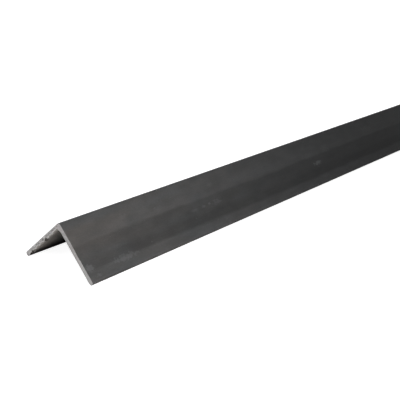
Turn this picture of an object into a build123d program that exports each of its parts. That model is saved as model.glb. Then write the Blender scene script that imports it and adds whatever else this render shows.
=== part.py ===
"""Hot-rolled equal-leg steel angle, 50 x 50 x 4 mm, cut to one metre.

The whole bar is one rolled piece, so it is one solid: a constant section pushed along X.
It lies the way loose angle is stored, heel up like a ridge, resting on the rounded inner
corners of both toes. Z is up, and the origin is on the ground, midway between the toes and
halfway along the bar. All dimensions are millimetres.
"""

import os
from math import sqrt

from build123d import *

# Driving dimensions of the stock
LENGTH = 1000.0  # cut length
LEG = 50.0  # outside width of each leg, heel to toe
THICKNESS = 4.0  # of both legs
ROOT_RADIUS = 3.0  # fillet in the inside corner
TOE_RADIUS = 2.0  # inside corner of each toe
TOE_EDGE_RADIUS = 1.6  # outside corner of each toe, eased by the rolls
TOE_FLAT = 0.2  # least width of flat between the two toe radii
HEEL_RADIUS = 2.5  # outside corner of the angle, eased by the rolls

# A toe is as wide as the leg is thick, so a thinner leg shrinks both of its radii alike
toe_scale = min(1.0, (THICKNESS - TOE_FLAT) / (TOE_RADIUS + TOE_EDGE_RADIUS))
toe_radius = TOE_RADIUS * toe_scale
toe_edge_radius = TOE_EDGE_RADIUS * toe_scale

# Height of the sharp heel corner above the ground, with both inner toe radii touching it
heel_height = (LEG + THICKNESS - 2 * toe_radius) / sqrt(2) + toe_radius

# The section is drawn with its heel at the origin and its legs along the sketch's x and y.
# The plane stands at one end of the bar and turns both legs 45 degrees below level.
section_plane = Plane(
    origin=(-LENGTH / 2, 0, heel_height), x_dir=(0, -1, -1), z_dir=(1, 0, 0)
)


def corner(builder: BuildSketch, x: float, y: float) -> Vertex:
    """The sketch's corner that lies at (x, y)."""
    return builder.vertices().sort_by_distance((x, y))[0]


with BuildPart() as steel_angle:
    with BuildSketch(section_plane) as section:
        with BuildLine():
            Polyline(
                (0, 0),
                (LEG, 0),
                (LEG, THICKNESS),
                (THICKNESS, THICKNESS),
                (THICKNESS, LEG),
                (0, LEG),
                close=True,
            )
        make_face()
        fillet(corner(section, 0, 0), HEEL_RADIUS)
        fillet(corner(section, THICKNESS, THICKNESS), ROOT_RADIUS)
        fillet([corner(section, LEG, THICKNESS), corner(section, THICKNESS, LEG)], toe_radius)
        fillet([corner(section, LEG, 0), corner(section, 0, LEG)], toe_edge_radius)
    extrude(amount=LENGTH)

steel_angle.part.label = "steel_angle"

os.makedirs("parts", exist_ok=True)
export_step(steel_angle.part, "parts/steel_angle.step")
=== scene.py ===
"""A one-metre bar of hot-rolled equal-leg steel angle, lying heel up, as it comes off the rack.

The bar is one mesh in the frame of the CAD model: X runs along it and Z is up. On its section
u runs from the sharp heel corner along the front leg, at -Y, and v along the back leg. Lengths
along the bar, x, run from its near end. The bar is worked out in millimetres, and placed in
metres. The floor, the lamps and the camera are in metres.
"""

from math import radians, sqrt

import bpy
import numpy as np
from mathutils import Matrix, Vector


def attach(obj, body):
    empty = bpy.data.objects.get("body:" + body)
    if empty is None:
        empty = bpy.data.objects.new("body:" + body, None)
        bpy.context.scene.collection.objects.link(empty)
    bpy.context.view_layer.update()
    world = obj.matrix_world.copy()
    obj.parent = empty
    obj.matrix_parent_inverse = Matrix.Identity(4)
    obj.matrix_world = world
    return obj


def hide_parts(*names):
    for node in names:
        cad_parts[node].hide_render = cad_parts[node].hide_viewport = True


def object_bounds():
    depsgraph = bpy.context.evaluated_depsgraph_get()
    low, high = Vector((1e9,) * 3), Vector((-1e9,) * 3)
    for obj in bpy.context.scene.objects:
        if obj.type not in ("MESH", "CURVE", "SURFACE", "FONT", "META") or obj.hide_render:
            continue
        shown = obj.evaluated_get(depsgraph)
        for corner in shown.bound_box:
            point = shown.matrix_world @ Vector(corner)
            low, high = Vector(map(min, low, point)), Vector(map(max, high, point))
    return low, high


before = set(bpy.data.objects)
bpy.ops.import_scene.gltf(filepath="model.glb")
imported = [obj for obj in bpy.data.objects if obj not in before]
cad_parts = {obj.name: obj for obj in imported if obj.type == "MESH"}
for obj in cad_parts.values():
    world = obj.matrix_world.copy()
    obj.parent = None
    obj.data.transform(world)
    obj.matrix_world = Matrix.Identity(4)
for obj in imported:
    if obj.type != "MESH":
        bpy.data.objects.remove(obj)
cad_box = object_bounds()

MM = 0.001

# The stock, as in the CAD model
LENGTH = (cad_box[1].x - cad_box[0].x) / MM
LEG = 50.0
THICKNESS = 4.0
ROOT_RADIUS = 3.0
TOE_RADIUS = 2.0
TOE_EDGE_RADIUS = 1.6
HEEL_RADIUS = 2.5
HEEL_HEIGHT = (LEG + THICKNESS - 2 * TOE_RADIUS) / sqrt(2) + TOE_RADIUS

# The near cut's torn edge, on the inside of the back leg. Each burr and each notch has its place
# along the leg and half its length there. A notch also has its place across the leg.
TORN_FROM, TORN_TO = 6.2, 45.0
BURRS = ((13.0, 1.7), (18.2, 1.5), (25.4, 1.6), (31.0, 2.0), (37.0, 1.8))
NOTCHES = (((21.8, 3.2), 1.9), ((42.0, 2.9), 0.9))
NOTCH_WIDTH = 1.1  # half of it, across the leg
# Painted shade in the notches of the torn edge
NOTCH_SHADE_COLOUR = (0.030, 0.026, 0.024)


# ---------------------------------------------------------------- noise for the mesh
def lattice(column, row, seed):
    """A repeatable number from 0 to 1 for each whole-numbered point: the usual sine hash."""
    hashed = np.sin(column * 12.9898 + row * 78.233 + seed * 37.719) * 43758.5453
    return hashed - np.floor(hashed)


def eased(share):
    """A share from 0 to 1 that starts and ends gently."""
    return share * share * (3 - 2 * share)


def between(start, end, share):
    """What lies a share of the way from start to end."""
    return start * (1 - share) + end * share


def noise(x, y, seed, period=None):
    """Smooth noise from -1 to 1 that changes about once a unit. It repeats every period in y."""
    column, row = np.floor(x), np.floor(y)
    across, up = eased(x - column), eased(y - row)
    next_row = row + 1
    if period:
        row, next_row = row % period, next_row % period
    low = between(lattice(column, row, seed), lattice(column + 1, row, seed), across)
    high = between(lattice(column, next_row, seed), lattice(column + 1, next_row, seed), across)
    return 2 * between(low, high, up) - 1


def smooth_step(low, high, value):
    """Rises smoothly from 0 to 1 as value goes from low to high."""
    return eased(np.clip((value - low) / (high - low), 0, 1))


def window(low, high, soft, value):
    """1 from low to high, falling smoothly to 0 over soft on either side."""
    return smooth_step(low - soft, low, value) * (1 - smooth_step(high, high + soft, value))


# ---------------------------------------------------------------- the section's outline
# A path is a pair of arrays: its points on the section, and its outward normals there.
FACE_STEP = 0.75  # between points along each leg


def arc(centre, radius, start, end, segments, hollow=False):
    """A path round an arc, its angles in degrees from u towards v."""
    angles = np.radians(np.linspace(start, end, segments + 1))
    away = np.stack([np.cos(angles), np.sin(angles)], 1)
    return np.array(centre) + radius * away, -away if hollow else away


def straight(start, end, normal, segments):
    """A path along a line."""
    points = np.linspace(start, end, segments + 1)
    return points, np.tile(np.array(normal, float), (segments + 1, 1))


def joined(*paths):
    """One path from several that each begin where the last one ends."""
    points = np.concatenate([paths[0][0]] + [points[1:] for points, _ in paths[1:]])
    normals = np.concatenate([paths[0][1]] + [normals[1:] for _, normals in paths[1:]])
    return points, normals


def other_leg(path, backwards=False):
    """The same path on the other leg."""
    step = -1 if backwards else 1
    return path[0][::step, ::-1], path[1][::step, ::-1]


face_segments = round((LEG - TOE_EDGE_RADIUS - HEEL_RADIUS) / FACE_STEP)
toe_edge = (LEG - TOE_EDGE_RADIUS, TOE_EDGE_RADIUS)
toe_inner = (LEG - TOE_RADIUS, THICKNESS - TOE_RADIUS)
root = THICKNESS + ROOT_RADIUS

outer_leg = joined(
    arc(toe_edge, TOE_EDGE_RADIUS, -45, -90, 3),
    straight((LEG - TOE_EDGE_RADIUS, 0), (HEEL_RADIUS, 0), (0, -1), face_segments),
    arc((HEEL_RADIUS, HEEL_RADIUS), HEEL_RADIUS, -90, -135, 4),
)
inner_leg = joined(
    arc(toe_inner, TOE_RADIUS, 45, 90, 3),
    straight((LEG - TOE_RADIUS, THICKNESS), (root, THICKNESS), (0, 1), face_segments),
    arc((root, root), ROOT_RADIUS, -90, -135, 4, hollow=True),
)
toe = joined(
    arc(toe_edge, TOE_EDGE_RADIUS, -45, 0, 3),
    straight((LEG, TOE_EDGE_RADIUS), (LEG, THICKNESS - TOE_RADIUS), (1, 0), 1),
    arc(toe_inner, TOE_RADIUS, 0, 45, 4),
)

# Outer and inner faces from front toe to back toe, and each toe from outer to inner face
sides = {
    "outer": joined(outer_leg, other_leg(outer_leg, backwards=True)),
    "inner": joined(inner_leg, other_leg(inner_leg, backwards=True)),
    "front_toe": toe,
    "back_toe": other_leg(toe),
}
COLUMNS = len(sides["outer"][0])
ROWS = len(toe[0])

# Once round the section: outer face, back toe, inner face, front toe
outline, outward = (
    np.concatenate(
        [
            sides["outer"][part],
            sides["back_toe"][part][1:-1],
            sides["inner"][part][::-1],
            sides["front_toe"][part][-2:0:-1],
        ]
    )
    for part in (0, 1)
)
POINTS = len(outline)
gaps = np.linalg.norm(np.roll(outline, -1, axis=0) - outline, axis=1)
GIRTH = gaps.sum()
around = np.concatenate([[0], np.cumsum(gaps)[:-1]])

# Where each place on a cut face's grid of ROWS x COLUMNS lies on the outline, or -1 inside it
rim = np.full((ROWS, COLUMNS), -1)
rim[0] = np.arange(COLUMNS)
rim[1:-1, -1] = COLUMNS + np.arange(ROWS - 2)
rim[-1] = COLUMNS + ROWS - 2 + np.arange(COLUMNS)[::-1]
rim[1:-1, 0] = POINTS - 1 - np.arange(ROWS - 2)


# ---------------------------------------------------------------- the bar's surface
# Unevenness of the rolled faces and of the cuts, as half of its greatest depth
WAVE = 0.022
RIPPLE = 0.014
HEEL_WEAR = 0.04
TOE_WEAR = 0.05
NEAR_SAW_MARK = 0.030
FAR_SAW_MARK = 0.022

# Whole depth of pits, and the length along the bar in which a cut's unevenness dies away
ROLLED_PIT = 0.05
CUT_PIT = 0.075
CUT_FADE = 0.8

# How far the edges of the cuts are rounded over, and how much that varies along them
NEAR_EDGE, NEAR_EDGE_VARIES = 0.20, 0.09
FAR_EDGE, FAR_EDGE_VARIES = 0.18, 0.07

# What is added to that: along a nicked stretch of the front leg's outer edge, all along the torn
# edge, and at each of its burrs and notches
NICK_FROM, NICK_TO, NICK = 26.0, 30.0, 0.25
TORN, TORN_VARIES, TORN_VARIES_FINELY = 0.70, 0.14, 0.12
BURR, NOTCH = -0.45, 0.6

# The rings of the mesh, from each end of the bar
EDGE_SEGMENTS = 4  # round the edge of the cut
FIRST_RING = 1.9  # from the end to the first ring past that edge
FIRST_STEP = 0.7  # from there to the next one
STEP_GROWTH = 1.22
RING_STEP = 3.5  # the longest step, which the rings in the middle have


def girth_noise(x, s, length, patches, seed):
    """Noise of a length along the bar, with a whole number of patches round the section."""
    return noise(x / length, s / GIRTH * patches, seed, patches)


def rolled_relief(x, s, uv):
    """How far the rolled surface lies inside the exact section, at x along and s round it."""
    along_leg = uv.max(axis=-1)
    on_heel = 1 - smooth_step(0.8, 2.4, along_leg)
    on_toe = smooth_step(LEG - 2.9, LEG - 1.4, along_leg)
    which_toe = np.sign(uv[..., 0] - LEG / 2)
    wave = WAVE * (1 + girth_noise(x, s, length=140, patches=9, seed=1))
    ripple = RIPPLE * (1 + girth_noise(x, s, length=34, patches=34, seed=2))
    pits = ROLLED_PIT * smooth_step(0.35, 0.85, girth_noise(x, s, length=9, patches=60, seed=3))
    heel = on_heel * HEEL_WEAR * (1 + noise(x / 45, 0, 4))
    toes = on_toe * TOE_WEAR * (1 + noise(x / 60, which_toe, 5))
    return wave + ripple + pits + heel + toes


def near_edge_radius(s, uv):
    """How far the near end's edge is rounded over. The saw tore the back leg's inner edge."""
    u, v = uv[:, 0], uv[:, 1]
    plain = NEAR_EDGE + NEAR_EDGE_VARIES * noise(s / 2.3, 0, 21)
    nicks = NICK * window(NICK_FROM, NICK_TO, 1.5, u) * (v < 1)
    ragged = TORN + TORN_VARIES * noise(s / 3.1, 0, 22)
    ragged = ragged + TORN_VARIES_FINELY * noise(s / 1.3, 0, 23)
    for at, reach in BURRS:
        ragged = ragged + BURR * smooth_step(reach, 0.3 * reach, abs(v - at))
    for (at, _), reach in NOTCHES:
        ragged = ragged + NOTCH * smooth_step(reach, 0.3 * reach, abs(v - at))
    on_inner_edge = (u > THICKNESS / 2) & (v > THICKNESS)
    return plain + nicks + on_inner_edge * window(TORN_FROM, TORN_TO, 1.8, v) * ragged


def far_edge_radius(s):
    """How far the far end's edge is rounded over."""
    return FAR_EDGE + FAR_EDGE_VARIES * noise(s / 3.1, 0, 31)


def near_cut_relief(u, v):
    """How deep the near cut's marks are. They cross the thickness at a slight slant."""
    along_leg, across_leg = np.maximum(u, v), np.minimum(u, v)
    slant = along_leg + 0.2 * across_leg
    on_back_leg = smooth_step(1, 5, v - u)
    marks = NEAR_SAW_MARK * (1 + noise(slant / 1.5, across_leg / 7, 41))
    pits = smooth_step(-0.1, 0.8, noise(along_leg / 2.1, across_leg / 1.6, 42))
    return marks + CUT_PIT * on_back_leg * pits


def far_cut_relief(u, v):
    """How deep the far cut's marks are. They slant the other way."""
    along_leg, across_leg = np.maximum(u, v), np.minimum(u, v)
    slant = along_leg - 0.15 * across_leg
    return FAR_SAW_MARK * (1 + noise(slant / 1.5, across_leg / 8, 51))


def end_rings():
    """Distances from an end of the rings near it, growing to RING_STEP apart."""
    distances = []
    distance, step = FIRST_RING, FIRST_STEP
    while step < RING_STEP:
        distances.append(distance)
        distance += step
        step *= STEP_GROWTH
    return np.array(distances)


def rounded_edge(radius):
    """Rings round a cut's edge: how far each lies from the end, and how far inside the section."""
    turns = np.radians(np.linspace(0, 90, EDGE_SEGMENTS + 1))[:, None]
    return radius * (1 - np.cos(turns)), radius * (1 - np.sin(turns))


def bar_points():
    """Every ring of the bar as x and section places, near end first."""
    near_x, near_inset = rounded_edge(near_edge_radius(around, outline))
    far_x, far_inset = rounded_edge(far_edge_radius(around))

    near_rings = end_rings()
    far_rings = LENGTH - near_rings[::-1]
    count = round((LENGTH - 2 * near_rings[-1]) / RING_STEP)
    middle = np.linspace(near_rings[-1], far_rings[0], count + 1)[1:-1]
    plain_x = np.concatenate([near_rings, middle, far_rings])[:, None].repeat(POINTS, 1)
    x = np.concatenate([near_x, plain_x, LENGTH - far_x[::-1]])
    inset = np.concatenate([near_inset, np.zeros_like(plain_x), far_inset[::-1]])

    inset = inset + rolled_relief(x, around, outline)
    uv = outline - outward * inset[..., None]
    near_depth = near_cut_relief(uv[..., 0], uv[..., 1]) * np.exp(-x / CUT_FADE)
    far_depth = far_cut_relief(uv[..., 0], uv[..., 1]) * np.exp((x - LENGTH) / CUT_FADE)
    return x + near_depth - far_depth, uv


def cut_grid(edge):
    """Section places over a whole cut face, from those round its edge."""
    low, high = edge[rim[0]], edge[rim[-1]]
    left, right = edge[rim[:, 0]][:, None], edge[rim[:, -1]][:, None]
    up = np.linspace(0, 1, ROWS)[:, None, None]
    over = np.linspace(0, 1, COLUMNS)[None, :, None]
    corners = between(between(low[0], low[-1], over), between(high[0], high[-1], over), up)
    grid = between(low, high, up) + between(left, right, over) - corners
    held = rim >= 0
    grid[held] = edge[rim[held]]
    return grid


# ---------------------------------------------------------------- the bar's mesh
# The texture map, in shares of its height: each half of the sides, each cut, and the gaps
# between and beside them
MAP_SIDE = 0.385
MAP_CUT = 0.09
MAP_GAP = 0.01

# Each cut: how deep its marks are, where it lies along the bar, and which way along x is inwards
CUTS = ((near_cut_relief, 0.0, 1), (far_cut_relief, LENGTH, -1))


def placed(x, uv):
    """Points in metres in the CAD frame from distances along the bar and places on the section."""
    u, v = uv[..., 0], uv[..., 1]
    y, z = (v - u) / sqrt(2), HEEL_HEIGHT - (u + v) / sqrt(2)
    return np.stack([x - LENGTH / 2, y, z], -1) * MM


def cell_corners(grid):
    """The four corners of every cell of a grid, in order round it."""
    low, high = grid[:-1], grid[1:]
    return np.stack([low[:, :-1], low[:, 1:], high[:, 1:], high[:, :-1]], 2)


def side_map(x):
    """Map corners of every quad between two rings: the bar's halves one above the other."""
    split = np.abs(x[:, 0] - LENGTH / 2).argmin()
    middle = x[split, 0]
    near_share, far_share = x[:, 0] / middle, (x[:, 0] - middle) / (LENGTH - middle)
    in_near_half = np.arange(len(x) - 1) < split
    start = np.where(in_near_half, near_share[:-1], far_share[:-1])
    end = np.where(in_near_half, near_share[1:], far_share[1:])
    base = np.where(in_near_half, 0.0, MAP_SIDE + MAP_GAP)[:, None]
    turn = np.append(around, GIRTH) / GIRTH

    corners = np.empty((len(x) - 1, POINTS, 4, 2))
    corners[..., (0, 3), 0] = start[:, None, None]
    corners[..., (1, 2), 0] = end[:, None, None]
    corners[..., (0, 1), 1] = (base + MAP_SIDE * turn[:-1])[..., None]
    corners[..., (2, 3), 1] = (base + MAP_SIDE * turn[1:])[..., None]
    corners[..., 0] = MAP_GAP + (1 - 2 * MAP_GAP) * corners[..., 0]
    return corners.reshape(-1, 4, 2)


def cut_map(number):
    """Map corners of a cut's quads, in a strip of its own above the sides."""
    along = MAP_GAP + (1 - 2 * MAP_GAP) * np.linspace(0, 1, COLUMNS)
    base = 2 * (MAP_SIDE + MAP_GAP) + number * (MAP_CUT + MAP_GAP)
    places = np.stack(np.meshgrid(along, base + MAP_CUT * np.linspace(0, 1, ROWS)), -1)
    return cell_corners(places).reshape(-1, 4, 2)


def side_faces(x, uv, index):
    """Vertices of all rings, then the quads between them with their map corners and slots."""
    here, ahead = index[:-1], index[1:]
    quads = np.stack([here, ahead, np.roll(ahead, -1, 1), np.roll(here, -1, 1)], -1)
    quads = quads.reshape(-1, 4)
    return placed(x, uv).reshape(-1, 3), quads, side_map(x), np.zeros(len(quads), int)


def cut_faces(number, edge, ring, first_free):
    """The same for a cut, which fills its ring. Its new vertices are numbered from first_free."""
    relief, end, inwards = CUTS[number]
    grid = cut_grid(edge)
    x = end + inwards * relief(grid[..., 0], grid[..., 1])
    new = rim < 0
    index = np.where(new, 0, ring[rim])
    index[new] = first_free + np.arange(new.sum())
    quads = cell_corners(index).reshape(-1, 4)[:, ::inwards]
    corners = cut_map(number)[:, ::inwards]
    return placed(x[new], grid[new]), quads, corners, np.ones(len(quads), int)


def build_bar():
    """The bar's object: rings of quads along it and a grid of quads over each cut."""
    x, uv = bar_points()
    index = np.arange(x.size).reshape(x.shape)
    side = side_faces(x, uv, index)
    near = cut_faces(0, uv[0], index[0], first_free=x.size)
    far = cut_faces(1, uv[-1], index[-1], first_free=x.size + len(near[0]))
    vertices, quads, corners, slots = map(np.concatenate, zip(side, near, far))

    mesh = bpy.data.meshes.new("angle_bar")
    mesh.from_pydata(vertices.tolist(), [], quads.tolist())
    mesh.polygons.foreach_set("material_index", slots)
    mesh.polygons.foreach_set("use_smooth", np.ones(len(quads), bool))
    bake_map = mesh.uv_layers.new(name="OFBake")
    bake_map.uv.foreach_set("vector", corners.astype(np.float32).ravel())
    mesh.update()
    bar = bpy.data.objects.new("angle_bar", mesh)
    bpy.context.scene.collection.objects.link(bar)
    return bar


# ---------------------------------------------------------------- nodes
class Nodes:
    """Builds the nodes of a material or a world. Most methods return an output socket."""

    def __init__(self, owner):
        owner.use_nodes = True
        self.tree = owner.node_tree
        self.tree.nodes.clear()

    def add(self, kind, inputs, **settings):
        """A new node. Its inputs are keyed by name, or by number where several share a name."""
        node = self.tree.nodes.new(kind)
        for name, value in settings.items():
            setattr(node, name, value)
        for key, value in inputs.items():
            self.put(node.inputs[key], value)
        return node

    def put(self, socket, value):
        """Links an input to an output, or gives it a value of its own."""
        if isinstance(value, bpy.types.NodeSocket):
            self.tree.links.new(value, socket)
        else:
            socket.default_value = value

    def math(self, operation, *inputs):
        return self.add("ShaderNodeMath", dict(enumerate(inputs)), operation=operation).outputs[0]

    def times(self, value, *factors):
        for factor in factors:
            value = self.math("MULTIPLY", value, factor)
        return value

    def plus(self, value, *others):
        for other in others:
            value = self.math("ADD", value, other)
        return value

    def minus(self, value, other):
        return self.math("SUBTRACT", value, other)

    def swing(self, noise, reach, middle=0.5):
        """Noise from 0 to 1 turned into noise round 0, reach being its whole range."""
        return self.times(self.minus(noise, middle), reach)

    def vector(self, x, y, z):
        return self.add("ShaderNodeCombineXYZ", {"X": x, "Y": y, "Z": z}).outputs[0]

    def noise(self, x, y, z, detail=2.0, roughness=0.5):
        """Noise from 0 to 1 that changes about once a unit."""
        inputs = {
            "Vector": self.vector(x, y, z),
            "Scale": 1.0,
            "Detail": detail,
            "Roughness": roughness,
        }
        return self.add("ShaderNodeTexNoise", inputs).outputs[0]

    def step(self, low, high, value, to_low=0.0, to_high=1.0):
        """Goes smoothly from to_low to to_high as value goes from low to high."""
        inputs = {
            "Value": value,
            "From Min": low,
            "From Max": high,
            "To Min": to_low,
            "To Max": to_high,
        }
        return self.add("ShaderNodeMapRange", inputs, interpolation_type="SMOOTHSTEP").outputs[0]

    def mix(self, factor, start, end):
        """A number that goes from start to end as factor goes from 0 to 1."""
        inputs = {0: factor, 2: start, 3: end}
        return self.add("ShaderNodeMix", inputs, data_type="FLOAT").outputs[0]

    def tint(self, factor, colour, other, how="MIX"):
        """A colour that turns into another one as factor goes from 0 to 1."""
        inputs = {0: factor, 6: colour, 7: other}
        for key in (6, 7):
            if isinstance(inputs[key], tuple):
                inputs[key] = (*inputs[key], 1.0)
        return self.add("ShaderNodeMix", inputs, data_type="RGBA", blend_type=how).outputs[2]

    def shaded(self, colour, shade):
        """A colour times a brightness."""
        return self.tint(1.0, colour, self.vector(shade, shade, shade), "MULTIPLY")

    def dimmed(self, shade, where, left):
        """A brightness, of which only a share is left where a mask is 1."""
        return self.times(shade, self.mix(where, 1.0, left))

    def ramp(self, value, stops):
        """A grey level read off a row of stops, each of them a position and a level."""
        node = self.add("ShaderNodeValToRGB", {"Fac": value})
        elements = node.color_ramp.elements
        while len(elements) < len(stops):
            elements.new(0.5)
        for element, (at, level) in zip(elements, stops):
            element.position = at
            element.color = (level, level, level, 1.0)
        return node.outputs[0]


class BarNodes(Nodes):
    """Nodes of a material of the bar, with the place on the bar in millimetres.

    Besides x, u and v that is along_leg, from the heel along either leg, and across_leg, from a
    leg's outside to its inside.
    """

    def __init__(self, name):
        self.material = bpy.data.materials.new(name)
        super().__init__(self.material)
        place = self.add("ShaderNodeTexCoord", {}).outputs["Object"]
        x, y, z = self.add("ShaderNodeSeparateXYZ", {"Vector": place}).outputs
        drop = self.minus(HEEL_HEIGHT * MM, z)
        scale = 1 / MM / sqrt(2)
        self.x = self.math("MULTIPLY_ADD", x, 1 / MM, LENGTH / 2)
        self.u = self.times(self.minus(drop, y), scale)
        self.v = self.times(self.plus(drop, y), scale)
        self.along_leg = self.math("MAXIMUM", self.u, self.v)
        self.across_leg = self.math("MINIMUM", self.u, self.v)

    def patches(self, along, across, detail=2.0, roughness=0.5):
        """Noise with so many patches a millimetre along the bar and across its section."""
        x, u, v = self.times(self.x, along), self.times(self.u, across), self.times(self.v, across)
        return self.noise(x, u, v, detail, roughness)

    def cut_places(self, along, across):
        """Places on a cut for a noise, with so many changes a millimetre along and across."""
        return self.times(self.along_leg, along), self.times(self.across_leg, across)

    def far_from(self, places, centre, reach):
        """Squared distance from a centre, in units of its reach along each axis."""
        total = 0.0
        for place, middle, unit in zip(places, centre, reach):
            off = self.times(self.minus(place, middle), 1 / unit)
            total = self.plus(total, self.times(off, off))
        return total

    def surface(self, colour, roughness, specular, height, relief):
        """Ends the material in its shader. A height of 1 stands for relief, in metres."""
        bump = self.add("ShaderNodeBump", {"Strength": 0.5, "Distance": relief, "Height": height})
        inputs = {
            "Base Color": colour,
            "Roughness": roughness,
            "Specular IOR Level": specular,
            "Normal": bump.outputs[0],
        }
        shader = self.add("ShaderNodeBsdfPrincipled", inputs)
        self.add("ShaderNodeOutputMaterial", {"Surface": shader.outputs[0]})
        return self.material


# ---------------------------------------------------------------- mill scale
# Half the brightness of the bands, by their place along a leg as a share of its width
FRONT_BANDS = (
    (0.0, 0.58),
    (0.395, 0.60),
    (0.44, 0.46),
    (0.62, 0.44),
    (0.70, 0.385),
    (0.80, 0.385),
    (0.85, 0.53),
    (0.96, 0.57),
)
BACK_BANDS = (
    (0.0, 0.56),
    (0.22, 0.54),
    (0.28, 0.45),
    (0.50, 0.47),
    (0.56, 0.54),
    (0.74, 0.55),
    (0.80, 0.44),
    (0.97, 0.50),
)

# Pale marks on the outside of the front leg: the place in x and u, half the size, the strength
MARKS = (
    ((128.5, 27.9), (5.0, 1.7), 0.12),
    ((139.5, 27.5), (3.0, 1.3), 0.16),
    ((147.5, 27.0), (1.6, 1.3), 0.22),
    ((157.0, 28.0), (6.0, 3.0), 0.11),
    ((56.0, 11.5), (4.0, 2.2), 0.08),
    ((38.0, 41.0), (14.0, 3.0), 0.14),
    ((3.8, 38.6), (5.2, 3.2), 0.22),
    ((8.5, 45.6), (3.6, 1.5), 0.14),
    ((160.0, 12.0), (4.0, 2.2), 0.10),
    ((316.0, 29.0), (7.5, 2.4), 0.38),
    ((341.0, 17.3), (7.0, 4.5), 0.12),
    ((308.0, 19.6), (12.0, 3.5), 0.10),
    ((430.0, 14.0), (12.0, 4.0), 0.10),
)

# Colours of the rolled sides, in linear light
COOL_SCALE = (0.0844, 0.0857, 0.0867)
WARM_SCALE = (0.0875, 0.0855, 0.0845)
BROWN_SCALE = (0.0935, 0.0862, 0.0815)
# Rust inside the near end, painted paler as light coming in at the open end
LIT_RUSTY_SCALE = (0.178, 0.163, 0.150)
BARE_STEEL = (0.24, 0.245, 0.25)
TORN_FLECK = (0.34, 0.335, 0.33)

# Where the looks change: each pair runs from where a change sets in to where it is complete.
# Along x, towards the near end:
EVEN_END = (60.0, 0.0)
DULL_TOE_END = (150.0, 40.0)
WARM_END = (320.0, 60.0)
BROWN_END = (110.0, 15.0)
# Rust inside the near end, with painted light:
LIT_RUST_END = (26.0, 6.0)
# Painted shade inside the near end, and where it begins at the cut:
SHADE_INSIDE_END = (150.0, 70.0)
SHADE_SHIFT_END = (7.0, 0.0)
FLECKED_END = (1.6, 0.5)
NOTCHED_END = (2.4, 1.2)

# Along a leg, from the heel:
DULL_TOE = (41.0, 44.0)
BROWN_TOP = (5.0, 10.0)
BROWN_BOTTOM = (34.0, 22.0)
# Painted shade inside, towards the toes, and where it is deepest:
SHADE_INSIDE = (24.0, 44.0)
DEEPEST_SHADE_INSIDE = (36.0, 44.0)
# Painted shade along the toe edges, next to the floor:
SHADED_TOE_EDGE = (48.8, 49.8)
WORN_HEEL = (2.6, 0.6)
FLECKED_FROM = (5.0, 7.0)

# Across a leg, from its outside:
INSIDE = (1.9, 2.8)
INNER_EDGE = (2.0, 2.4)


def scale_bands(nodes, front, inside):
    """Brightness of the bands along each leg, their edges wandering a little."""
    wander = nodes.patches(0.05, 0.25, detail=3.0)
    drift = nodes.noise(nodes.times(nodes.x, 0.006), 3.0, 7.0, detail=1.0)
    shifted = nodes.plus(nodes.along_leg, nodes.swing(wander, 3.0), nodes.swing(drift, 4.0))
    place = nodes.times(shifted, 1 / LEG)
    half = nodes.mix(front, nodes.ramp(place, BACK_BANDS), nodes.ramp(place, FRONT_BANDS))
    bands = nodes.mix(nodes.times(inside, 0.5), nodes.times(half, 2.0), 1.0)
    bands = nodes.mix(nodes.step(*EVEN_END, nodes.x, 0.0, 0.4), bands, 1.02)
    near_end = nodes.step(*DULL_TOE_END, nodes.x)
    near_toes = nodes.times(near_end, nodes.step(*DULL_TOE, nodes.along_leg))
    return nodes.dimmed(bands, near_toes, 0.91)


def scale_mottling(nodes, blotch, grain, streak):
    """Brightness of the mottling, the fine grain and the rolling streaks."""
    mottling = nodes.step(0.25, 0.75, blotch, 0.90, 1.10)
    grains = nodes.step(0.2, 0.8, grain, 0.94, 1.06)
    streaks = nodes.step(0.25, 0.75, streak, 0.98, 1.02)
    return nodes.times(mottling, grains, streaks)


def scale_flecks(nodes, speck):
    """Flecks where the scale has come off, thinly scattered everywhere."""
    gathered = nodes.patches(0.16, 0.3)
    return nodes.times(nodes.step(0.62, 0.70, speck), nodes.step(0.56, 0.68, gathered))


def front_marks(nodes, front_outside):
    """The marks on the outside of the front leg, with ragged edges."""
    noise = nodes.patches(0.45, 0.45, detail=3.0, roughness=0.7)
    ragged = nodes.swing(noise, 5.0, middle=0.46)
    marks = 0.0
    for at, size, strength in MARKS:
        far = nodes.plus(nodes.far_from((nodes.x, nodes.u), at, size), ragged)
        marks = nodes.plus(marks, nodes.step(1.3, 0.2, far, 0.0, strength))
    return nodes.times(marks, front_outside)


def scale_colour(nodes, blotch, inside, front_outside):
    """Cool grey, with warm patches towards the near end, and brown on the front leg there."""
    patches = nodes.step(0.3, 0.6, nodes.patches(0.02, 0.08))
    warm = nodes.times(patches, nodes.step(*WARM_END, nodes.x, 0.1, 1.0))
    colour = nodes.tint(warm, COOL_SCALE, WARM_SCALE)
    upper_leg = nodes.times(nodes.step(*BROWN_TOP, nodes.u), nodes.step(*BROWN_BOTTOM, nodes.u))
    brown = nodes.times(nodes.step(*BROWN_END, nodes.x), upper_leg)
    patches = nodes.step(0.2, 0.7, blotch, 0.4, 1.0)
    brown = nodes.times(brown, front_outside, patches, 0.8)
    colour = nodes.tint(brown, colour, BROWN_SCALE)

    # Rust beside the torn edge, on the inside of the back leg, painted paler as light coming in at
    # the open end
    distance = nodes.plus(nodes.x, nodes.swing(blotch, 8.0))
    back_leg = nodes.step(0.5, -0.5, nodes.minus(nodes.u, nodes.v))
    rust_and_light = nodes.times(inside, nodes.step(*LIT_RUST_END, distance), back_leg)
    return nodes.tint(rust_and_light, colour, LIT_RUSTY_SCALE)


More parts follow.
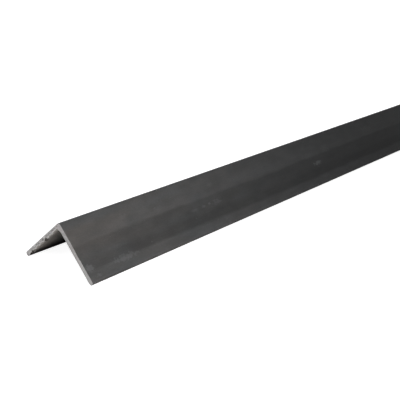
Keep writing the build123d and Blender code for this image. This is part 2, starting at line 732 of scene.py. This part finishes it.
def painted_shade_inside(nodes, shade, inside):
    """Painted shade inside the near end, deepest towards the toes and less at the cut."""
    near_inside = nodes.times(inside, nodes.step(*SHADE_INSIDE_END, nodes.x))
    # At the cut the painted shade begins 7 mm further out
    shifted = nodes.plus(nodes.along_leg, nodes.step(*SHADE_SHIFT_END, nodes.x, 0.0, -7.0))
    shade_towards_toes = nodes.times(near_inside, nodes.step(*SHADE_INSIDE, shifted))
    deepest_shade = nodes.times(near_inside, nodes.step(*DEEPEST_SHADE_INSIDE, nodes.along_leg))
    return nodes.dimmed(nodes.dimmed(shade, shade_towards_toes, 0.26), deepest_shade, 0.35)


def torn_edge_on_scale(nodes, colour, speck):
    """Bright flecks, and painted shade in the notches, where the torn edge is rounded over into
    the scale.
    """
    inner_edge = nodes.step(*INNER_EDGE, nodes.u)
    flecks = nodes.times(nodes.step(*FLECKED_END, nodes.x), inner_edge)
    flecks = nodes.times(flecks, nodes.step(0.56, 0.66, speck), nodes.step(*FLECKED_FROM, nodes.v))
    colour = nodes.tint(flecks, colour, TORN_FLECK)
    notched_edge = nodes.times(nodes.step(*NOTCHED_END, nodes.x), inner_edge)
    # Painted shade in the notches
    for (at, _), reach in NOTCHES:
        far = nodes.plus(nodes.far_from((nodes.v,), (at,), (reach,)), nodes.swing(speck, 2.5))
        notch = nodes.times(nodes.step(1.1, 0.4, far), notched_edge, 0.85)
        colour = nodes.tint(notch, colour, NOTCH_SHADE_COLOUR)
    return colour


def mill_scale():
    """Dull, dark blue-grey mill scale, with lengthwise bands left by the rolls, worn spots and
    painted shade.
    """
    nodes = BarNodes("mill_scale_steel")
    front = nodes.step(-0.5, 0.5, nodes.minus(nodes.u, nodes.v))
    inside = nodes.step(*INSIDE, nodes.across_leg)
    front_outside = nodes.times(front, nodes.minus(1.0, inside))
    blotch = nodes.patches(0.045, 0.10, detail=3.0)
    grain = nodes.patches(0.6, 0.9, detail=3.0, roughness=0.6)
    streak = nodes.patches(0.012, 1.1, detail=3.0, roughness=0.6)
    speck = nodes.patches(0.5, 0.8)
    rub = nodes.patches(0.08, 0.5, detail=3.0)

    mottling = scale_mottling(nodes, blotch, grain, streak)
    shade = nodes.times(mottling, scale_bands(nodes, front, inside))
    # Painted shade along the toe edges next to the floor, broken into patches
    toe_edge_shade = nodes.times(nodes.step(*SHADED_TOE_EDGE, nodes.along_leg), nodes.step(0.65, 0.40, rub))
    shade = painted_shade_inside(nodes, nodes.dimmed(shade, toe_edge_shade, 0.5), inside)
    colour = nodes.shaded(scale_colour(nodes, blotch, inside, front_outside), shade)

    flecks = scale_flecks(nodes, speck)
    marks = front_marks(nodes, front_outside)
    worn_heel = nodes.times(nodes.step(*WORN_HEEL, nodes.along_leg), nodes.step(0.42, 0.68, rub))
    bare = nodes.plus(nodes.times(flecks, 0.2), marks, nodes.times(worn_heel, 0.22))
    bare = nodes.math("MINIMUM", bare, 1.0)
    colour = torn_edge_on_scale(nodes, nodes.tint(bare, colour, BARE_STEEL), speck)

    roughness = nodes.mix(bare, nodes.step(0.3, 0.7, blotch, 0.52, 0.64), 0.42)
    height = nodes.plus(nodes.times(streak, 0.35), nodes.times(blotch, 0.6))
    height = nodes.plus(nodes.times(grain, 0.5), height)
    height = nodes.minus(height, nodes.times(flecks, 0.4))
    return nodes.surface(colour, roughness, specular=0.015, height=height, relief=0.00012)


# ---------------------------------------------------------------- sawn steel
# Colours of the cuts
COOL_CUT = (0.313, 0.310, 0.306)
WARM_CUT = (0.323, 0.307, 0.306)
DULL_SPOT = (0.105, 0.101, 0.098)
BRIGHT_SPOT = (0.44, 0.43, 0.42)
# Pale burr metal, painted lighter as a highlight
BURR_AND_HIGHLIGHT_COLOUR = (0.47, 0.46, 0.45)
TORN_COLOUR = (0.135, 0.120, 0.110)

# Where the looks change, as for the scale: along x, then along a leg, then across it
NEAR_CUT = (20.0, 10.0)
PALER_FROM = (22.0, 32.0)
PLAIN_HEEL = (8.0, 3.0)
FEWER_SPOTS = (44.0, 35.0)
TORN_START, TORN_END = (4.5, 6.5), (47.0, 44.5)
DULL_FROM = (0.5, 1.3)
TORN_LINE = 2.75  # where the torn edge lies across the leg, before burrs and raggedness


def cut_shade(nodes, lines, back):
    """Brightness of the saw's lines, of the clouding, and of each leg's paler outer part."""
    cloud = nodes.noise(*nodes.cut_places(0.18, 0.2), 4.0)
    clouding = nodes.step(0.3, 0.7, cloud, 0.90, 1.06)
    shade = nodes.times(nodes.step(0.25, 0.75, lines, 0.90, 1.10), clouding)
    # On the back leg the paler part begins 8 mm further out
    shifted = nodes.plus(nodes.along_leg, nodes.times(back, -8.0))
    outer_part = nodes.step(*PALER_FROM, shifted, 0.93, 1.08)
    at_heel = nodes.step(*PLAIN_HEEL, nodes.along_leg)
    return nodes.times(shade, nodes.mix(at_heel, outer_part, 1.01))


def cut_spots(nodes, colour, spots, back, near):
    """Dull and bright spots on the back leg of the near cut."""
    dull = nodes.times(nodes.step(0.47, 0.55, spots), back)
    dull = nodes.times(dull, nodes.times(nodes.step(*DULL_FROM, nodes.across_leg), near))
    dull = nodes.times(dull, nodes.step(*FEWER_SPOTS, nodes.along_leg, 0.35, 1.0), 0.9)
    bright = nodes.times(nodes.step(0.43, 0.35, spots), back, near, 0.9)
    return nodes.tint(bright, nodes.tint(dull, colour, DULL_SPOT), BRIGHT_SPOT)


def torn_edge_on_cut(nodes, colour, near):
    """The torn edge: pale burrs with painted highlights, brown between them and painted shade in
    the notches.
    """
    bite = nodes.noise(
        nodes.times(nodes.v, 0.8), nodes.times(nodes.u, 0.6), 1.0, detail=3.0, roughness=0.65
    )
    edge = nodes.plus(TORN_LINE, nodes.swing(bite, 1.6))
    for at, reach in BURRS:
        off = nodes.math("ABSOLUTE", nodes.minus(nodes.v, at))
        edge = nodes.plus(edge, nodes.step(reach, 0.3 * reach, off, 0.0, 0.75))
    past_edge = nodes.minus(nodes.u, edge)
    torn_part = nodes.times(nodes.step(*TORN_START, nodes.v), nodes.step(*TORN_END, nodes.v), near)
    # A pale lip of burr metal before the torn edge, painted lighter as a highlight
    lip_and_highlight = nodes.times(nodes.step(-1.2, -0.5, past_edge), nodes.step(0.2, -0.3, past_edge))
    colour = nodes.tint(nodes.times(lip_and_highlight, torn_part, 0.6), colour, BURR_AND_HIGHLIGHT_COLOUR)
    torn_away = nodes.times(nodes.step(-0.2, 0.2, past_edge), torn_part, 0.9)
    colour = nodes.tint(torn_away, colour, TORN_COLOUR)
    # Painted shade in the notches
    for centre, reach in NOTCHES:
        far = nodes.far_from((nodes.v, nodes.u), centre, (reach, NOTCH_WIDTH))
        far = nodes.plus(far, nodes.swing(bite, 1.2))
        colour = nodes.tint(nodes.times(nodes.step(1.5, 0.5, far), near), colour, NOTCH_SHADE_COLOUR)
    return colour


def sawn_steel():
    """Sawn steel, pale and matt, with marks across its thickness and duller spots."""
    nodes = BarNodes("sawn_steel")
    back = nodes.step(0.0, 5.0, nodes.minus(nodes.v, nodes.u))
    near = nodes.step(*NEAR_CUT, nodes.x)
    slant = nodes.plus(nodes.along_leg, nodes.times(nodes.across_leg, 0.2))
    line_place = nodes.times(slant, 0.75), nodes.times(nodes.across_leg, 0.10)
    lines = nodes.noise(*line_place, nodes.times(back, 9.0), detail=3.0, roughness=0.6)
    spots = nodes.noise(*nodes.cut_places(0.42, 0.62), 2.0, detail=3.0, roughness=0.65)
    hue = nodes.noise(*nodes.cut_places(0.12, 0.2), 9.0, detail=1.0)

    colour = nodes.tint(nodes.step(0.35, 0.65, hue), COOL_CUT, WARM_CUT)
    colour = nodes.shaded(colour, cut_shade(nodes, lines, back))
    colour = cut_spots(nodes, colour, spots, back, near)
    colour = torn_edge_on_cut(nodes, colour, near)
    roughness = nodes.step(0.3, 0.7, lines, 0.42, 0.55)
    height = nodes.plus(lines, nodes.times(spots, 0.6))
    return nodes.surface(colour, roughness, specular=0.1, height=height, relief=0.0001)


# ---------------------------------------------------------------- floor, light and camera
# The floor and the room are white to the lens, whatever light they give the bar
WHITE = (1.0, 1.0, 1.0, 1.0)
FLOOR_COLOUR = (0.8, 0.8, 0.8, 1.0)
SHADOW_COLOUR = (0.6, 0.6, 0.6, 1.0)  # the lens sees the shadow on this, under the glow
FLOOR_GLOW = 0.93
FLOOR_REACH = 6.0  # from the middle to each side
OPEN_AIR = 0.12  # from the bar to where the floor is all white in reflections
ROOM_LIGHT = 0.065

SUN_STRENGTH = 0.10
SUN_ANGLE = 1.2  # radians, like the tilt
SUN_TILT = (0.25, -0.15, 0.0)

# What the lamps shine at
AIM_HEIGHT = 0.02
NEAR_END = (-LENGTH / 2 * MM, 0.0, AIM_HEIGHT)
MIDDLE = (0.0, 0.0, AIM_HEIGHT)
FAR_QUARTER = (0.38, 0.0, AIM_HEIGHT)
FAR_END = (LENGTH / 2 * MM, 0.0, AIM_HEIGHT)

# The camera, as fitted to the photograph, with its lens and sensor in millimetres
SENSOR_WIDTH = 36.0
LENS = 75.543
CAMERA_PLACE = (-0.8680285, -0.4012936, 0.2677048)
CAMERA_FORWARD = (0.74284171, 0.56488954, -0.3592854)
CAMERA_UP = (0.24045747, 0.27572788, 0.93067413)


def build_floor():
    """A pale floor. To the lens, and in reflections of its open parts, it glows white."""
    material = bpy.data.materials.new("pale_floor")
    nodes = Nodes(material)
    path = nodes.add("ShaderNodeLightPath", {}).outputs
    openness = nodes.add("ShaderNodeAmbientOcclusion", {"Distance": OPEN_AIR}, samples=6)
    mirrored = nodes.math("MAXIMUM", path["Is Glossy Ray"], path["Is Transmission Ray"])
    mirrored = nodes.times(mirrored, openness.outputs["AO"])
    to_lens = nodes.math("MAXIMUM", path["Is Camera Ray"], mirrored)

    lit = nodes.add("ShaderNodeBsdfDiffuse", {"Color": FLOOR_COLOUR}).outputs[0]
    shadow = nodes.add("ShaderNodeBsdfDiffuse", {"Color": SHADOW_COLOUR}).outputs[0]
    glow = nodes.add("ShaderNodeEmission", {"Color": WHITE, "Strength": FLOOR_GLOW}).outputs[0]
    white = nodes.add("ShaderNodeAddShader", {0: shadow, 1: glow}).outputs[0]
    mixed = nodes.add("ShaderNodeMixShader", {0: to_lens, 1: lit, 2: white}).outputs[0]
    nodes.add("ShaderNodeOutputMaterial", {"Surface": mixed})

    mesh = bpy.data.meshes.new("floor")
    signs = ((-1, -1), (1, -1), (1, 1), (-1, 1))
    corners = [(x * FLOOR_REACH, y * FLOOR_REACH, 0) for x, y in signs]
    mesh.from_pydata(corners, [], [(0, 1, 2, 3)])
    mesh.materials.append(material)
    floor = bpy.data.objects.new("floor", mesh)
    bpy.context.scene.collection.objects.link(floor)


def build_world():
    """A room that gives little light, and is white to the lens and in reflections."""
    world = bpy.data.worlds.new("room")
    bpy.context.scene.world = world
    nodes = Nodes(world)
    path = nodes.add("ShaderNodeLightPath", {}).outputs
    to_lens = nodes.math("MAXIMUM", path["Is Camera Ray"], path["Is Glossy Ray"])
    to_lens = nodes.math("MAXIMUM", to_lens, path["Is Transmission Ray"])
    light, white = (
        nodes.add("ShaderNodeBackground", {"Color": WHITE, "Strength": strength}).outputs[0]
        for strength in (ROOM_LIGHT, 1.0)
    )
    mixed = nodes.add("ShaderNodeMixShader", {0: to_lens, 1: light, 2: white}).outputs[0]
    nodes.add("ShaderNodeOutputWorld", {"Surface": mixed})


def soft_lamp(name, at, towards, face, watts, spread=180.0):
    """A lamp with a rectangular face that shines towards a point, within a cone of spread."""
    data = bpy.data.lights.new(name, "AREA")
    data.shape = "RECTANGLE"
    data.size, data.size_y = face
    data.energy = watts
    data.spread = radians(spread)
    lamp = bpy.data.objects.new(name, data)
    lamp.location = at
    lamp.rotation_mode = "QUATERNION"
    lamp.rotation_quaternion = (Vector(towards) - Vector(at)).to_track_quat("-Z", "Y")
    lamp.visible_camera = False
    bpy.context.scene.collection.objects.link(lamp)


def build_sun():
    """A weak, wide sun overhead."""
    data = bpy.data.lights.new("overhead", "SUN")
    data.energy = SUN_STRENGTH
    data.angle = SUN_ANGLE
    overhead = bpy.data.objects.new("overhead", data)
    overhead.rotation_euler = SUN_TILT
    bpy.context.scene.collection.objects.link(overhead)


def build_lamps():
    """Two lamps for what the photo shows, two narrow ones for the far part, one for the back."""
    soft_lamp("near_left", (-0.85, 0.10, 0.15), NEAR_END, (0.2, 0.2), watts=1.00)
    soft_lamp("near_front", (-0.55, -0.35, 0.12), NEAR_END, (0.2, 0.2), watts=1.15)
    soft_lamp("far_front", (0.38, -0.55, 0.50), FAR_QUARTER, (0.3, 0.2), watts=0.24, spread=40.0)
    soft_lamp("far_end", (0.80, -0.1, 0.20), FAR_END, (0.15, 0.15), watts=0.08, spread=60.0)
    soft_lamp("behind", (0.2, 1.6, 0.7), MIDDLE, (1.2, 0.6), watts=30.0)


def build_camera():
    """The camera, at the photograph's place."""
    data = bpy.data.cameras.new("camera")
    data.sensor_width = SENSOR_WIDTH
    data.lens = LENS
    forward = Vector(CAMERA_FORWARD)
    right = forward.cross(Vector(CAMERA_UP)).normalized()
    turn = Matrix((right, right.cross(forward), -forward)).transposed()
    camera = bpy.data.objects.new("camera", data)
    camera.matrix_world = Matrix.Translation(CAMERA_PLACE) @ turn.to_4x4()
    bpy.context.scene.collection.objects.link(camera)
    bpy.context.scene.camera = camera


bar = build_bar()
bar.data.materials.append(mill_scale())
bar.data.materials.append(sawn_steel())
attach(bar, "root")
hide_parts("steel_angle")

build_floor()
build_world()
build_sun()
build_lamps()
build_camera()
bpy.context.scene.view_settings.view_transform = "Standard"
